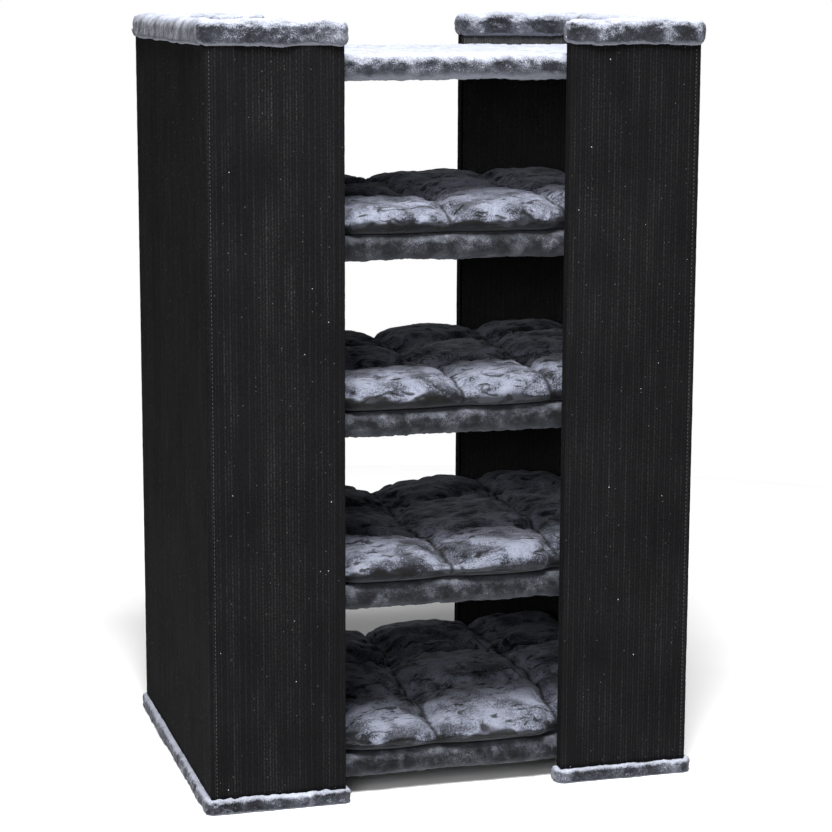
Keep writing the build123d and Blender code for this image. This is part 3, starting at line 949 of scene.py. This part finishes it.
def cushion_mesh(number, low, high):
    """The cover before it fills out, and which of its points are held by channels or lie on the shelf."""
    middle, half = cushion_plan(low, high)
    columns, rows = round(2.0 * half[0] / CUSHION_STEP), round(2.0 * half[1] / CUSHION_STEP)
    u, v = np.meshgrid(np.linspace(-1.0, 1.0, columns + 1), np.linspace(-1.0, 1.0, rows + 1))
    flat = np.stack([u.ravel() * half[0], v.ravel() * half[1]], axis=1)
    across = channel_distance(flat, channel_places(half[0], CUSHION_CELLS[0], number), 0, number)
    deep = channel_distance(flat, channel_places(half[1], CUSHION_CELLS[1], number + 3), 1, number + 1)
    edge = np.minimum(half[0] - np.abs(flat[:, 0]), half[1] - np.abs(flat[:, 1]))
    slope = np.clip(edge / CUSHION_SLOPE, 0.0, 1.0)
    dome = np.sqrt(1.0 - (1.0 - slope) ** 2.2)
    upper = CUSHION_LIP + (puffs(flat, half, across, deep, number) - CUSHION_LIP) * dome
    under = np.clip(edge / CUSHION_UNDERCUT, 0.0, 1.0)
    lower = (CUSHION_LIP - 0.003) * (1.0 - np.sqrt(1.0 - (1.0 - under) ** 2))
    tuck = 0.010 * np.exp(-((across / 0.03) ** 2)) + 0.003 * noise(flatwise(flat), 0.04, number)
    between = np.clip((CUSHION_OPENING - np.abs(flat[:, 0])) / 0.02, 0.0, 1.0)
    spill = CUSHION_SPILL * between * (3.0 - 2.0 * between) * between
    flat[:, 1] += np.sign(flat[:, 1]) * (spill - tuck) * (1.0 - slope)
    count = len(flat)
    base = np.array([middle.x, middle.y, low.z])
    points = np.concatenate([np.c_[flat, upper] + base, np.c_[flat, lower] + base])
    grid = np.arange(count).reshape(rows + 1, columns + 1)
    quads = np.stack([grid[:-1, :-1], grid[:-1, 1:], grid[1:, 1:], grid[1:, :-1]], axis=-1).reshape(-1, 4)
    faces = quads.tolist() + (quads[:, ::-1] + count).tolist()
    loop = np.concatenate([grid[0, :-1], grid[:-1, -1], grid[-1, :0:-1], grid[:0:-1, 0]])
    for here, ahead in zip(loop.tolist(), np.roll(loop, -1).tolist()):
        faces.append([here, here + count, ahead + count, ahead])
    channel = (np.minimum(across, deep) < CUSHION_STEP * 0.55) & (edge > CUSHION_STEP * 1.5)
    return points, faces, np.concatenate([channel, np.ones(count, bool)])


def fill_out(piece, held):
    """Blows the cover up with cloth simulation, keeps the held points and caps how far the rest moves."""
    before, _ = coordinates(piece)
    group = piece.vertex_groups.new(name="held")
    group.add(np.flatnonzero(held).tolist(), 1.0, "REPLACE")
    cloth = piece.modifiers.new("cloth", "CLOTH")
    settings = cloth.settings
    settings.quality = 5
    settings.mass = 0.12
    settings.tension_stiffness = 10.0
    settings.compression_stiffness = 10.0
    settings.shear_stiffness = 2.0
    settings.bending_stiffness = 0.01
    settings.use_pressure = True
    settings.uniform_pressure_force = 4.0
    settings.shrink_min = -0.13
    settings.vertex_group_mass = "held"
    settings.effector_weights.gravity = 0.0
    cloth.collision_settings.use_self_collision = False
    cloth.point_cache.frame_start, cloth.point_cache.frame_end = 1, CLOTH_FRAMES
    scene = bpy.context.scene
    for step in range(1, CLOTH_FRAMES + 1):
        scene.frame_set(step)
    bake_modifiers(piece)
    after, _ = coordinates(piece)
    move = after - before
    length = np.linalg.norm(move, axis=1)
    scale = np.minimum(1.0, CUSHION_MOST / np.maximum(length, 1e-9))
    set_points(piece, before + move * scale[:, None])
    piece.vertex_groups.clear()
    scene.frame_set(1)


def seams(points, low, high, number):
    """Points in plan, the places of the channels, and each point's distances to them."""
    middle, half = cushion_plan(low, high)
    flat = points[:, :2] - np.array([middle.x, middle.y])
    places = [channel_places(half[0], CUSHION_CELLS[0], number)]
    places.append(channel_places(half[1], CUSHION_CELLS[1], number + 3))
    across = channel_distance(flat, places[0], 0, number)
    deep = channel_distance(flat, places[1], 1, number + 1)
    return flat, places, across, deep


def mark_painted_shade(piece, low, high, number):
    """Marks where the cover gets painted shade: in the seams, and a painted shadow low on the cover under
    its roll, with an uneven top edge.
    """
    points, _ = coordinates(piece)
    _, _, across, deep = seams(points, low, high, number)
    nearest = np.minimum(across, deep)
    # Painted shade along the sewn channels.
    seam = np.exp(-((nearest / 0.0042) ** 2))
    height = points[:, 2] - low.z
    # Painted shadow low on the cover, under its roll, with an uneven top edge.
    edge = 0.024 + 0.014 * noise(points, 0.05, number + 30) + 0.008 * noise(points, 0.015, number + 31)
    painted_shadow_band = np.clip((edge - height) / 0.008, 0.0, 1.0)
    layer = piece.data.attributes.new("dark", "FLOAT", "POINT")
    layer.data.foreach_set("value", np.maximum(0.85 * seam, painted_shadow_band).astype(np.float32))


def gather(points, low, high, number):
    """Puckers square to the channels, folds that spread from the knots and a slightly crushed cover."""
    flat, places, across, deep = seams(points, low, high, number)
    bend = 0.012 * noise(flatwise(flat), 0.05, number + 9)
    along_y = noise(np.c_[flat[:, 1] + bend, across * 0.25, across * 0.0], 0.010, number + 11)
    along_x = noise(np.c_[flat[:, 0] + bend, deep * 0.25, deep * 0.0], 0.010, number + 12)
    ripples = 0.0038 * np.exp(-across / 0.035) * along_y + 0.0038 * np.exp(-deep / 0.035) * along_x
    for x, y in itertools.product(*places):
        away = flat - np.array([x, y])
        radius = np.hypot(away[:, 0], away[:, 1])
        turn = np.arctan2(away[:, 1], away[:, 0])
        spokes = np.sin(turn * 9.0 + 3.0 * noise(flatwise(flat), 0.06, number + 13))
        ripples += 0.0030 * spokes * np.exp(-((radius - 0.035) ** 2) / 0.03**2)
    ripples *= 1.0 - 0.8 * np.exp(-((np.minimum(across, deep) / 0.007) ** 2))
    bent = points * np.array([0.5, 1.0, 0.6]) + (0.02 * noise(points, 0.09, number + 15))[:, None]
    for size, depth in ((0.048, 0.0042), (0.021, 0.0022)):
        crease = 1.0 - np.abs(noise(bent, size, number + 16))
        ripples -= depth * np.clip(crease, 0.0, 1.0) ** 7
    return np.maximum(ripples, -0.009) + 0.0012 * layered_noise(points, 0.014, 40 + number, 2)


def add_cushion(number):
    """A quilted plush cushion that lies loose on its shelf, with its filling inside."""
    cover = f"cushion_{number}_cover"
    low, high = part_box(cover)
    points, faces, held = cushion_mesh(number, low, high)
    cushion = new_piece(f"cushion_{number}_velvet", points, faces, body=f"cushion_{number}")
    fill_out(cushion, held)
    points, _ = coordinates(cushion)
    base = np.array([(low.x + high.x) / 2.0, (low.y + high.y) / 2.0, low.z])
    inside = base + (points - base) * np.array(FILLING_SHARE) + np.array([0.0, 0.0, FILLING_CLEARANCE])
    filling = new_piece(f"cushion_{number}_fibre", inside, faces, body=f"cushion_{number}")
    finish_piece(filling, FIBRE, "filling", f"cushion_{number}_filling")
    softer = cushion.modifiers.new("softer", "SMOOTH")
    softer.factor, softer.iterations = 0.5, 3
    finer = cushion.modifiers.new("finer", "SUBSURF")
    finer.levels = finer.render_levels = 1
    bake_modifiers(cushion)
    points, normals = coordinates(cushion)
    upward = np.clip((points[:, 2] - low.z - 0.004) / 0.012, 0.0, 1.0)
    points = points + normals * (gather(points, low, high, number) * upward)[:, None]
    points[:, 0] = np.clip(points[:, 0], low.x, high.x)
    points[:, 2] = np.maximum(points[:, 2], low.z)
    set_points(cushion, points)
    cushion.data.polygons.foreach_set("use_smooth", [True] * len(cushion.data.polygons))
    mark_painted_shade(cushion, low, high, number)
    finish_piece(cushion, VELVET, "velvet", cover)


# ---------------------------------------------------------------- the whole tower


def paint_cad_nodes():
    """Boards, dowels, screws and fittings keep their CAD shape and get real materials."""
    slots = {
        "chipboard": chip_material(),
        "beech": beech_material(),
        "zinc_steel": zinc_material(),
    }
    for part in frame["record"]["subparts"]:
        material = slots.get(part["material_slot"])
        if material is not None:
            piece = frame["nodes"][part["node"]]
            piece.data.materials.clear()
            piece.data.materials.append(material)


add_camera()
add_studio()
paint_cad_nodes()
for number, (prefix, side) in enumerate(SIDES.items()):
    add_sisal(prefix, side)
    add_base_strip(prefix, side, 100 + number)
    for place, face in enumerate(("front", "side", "back")):
        add_rim_strip(prefix, face, 120 + 10 * number + place)
for number in SHELVES:
    add_shelf_plush(number, 140 + number)
for number in CUSHIONS:
    add_cushion(number)
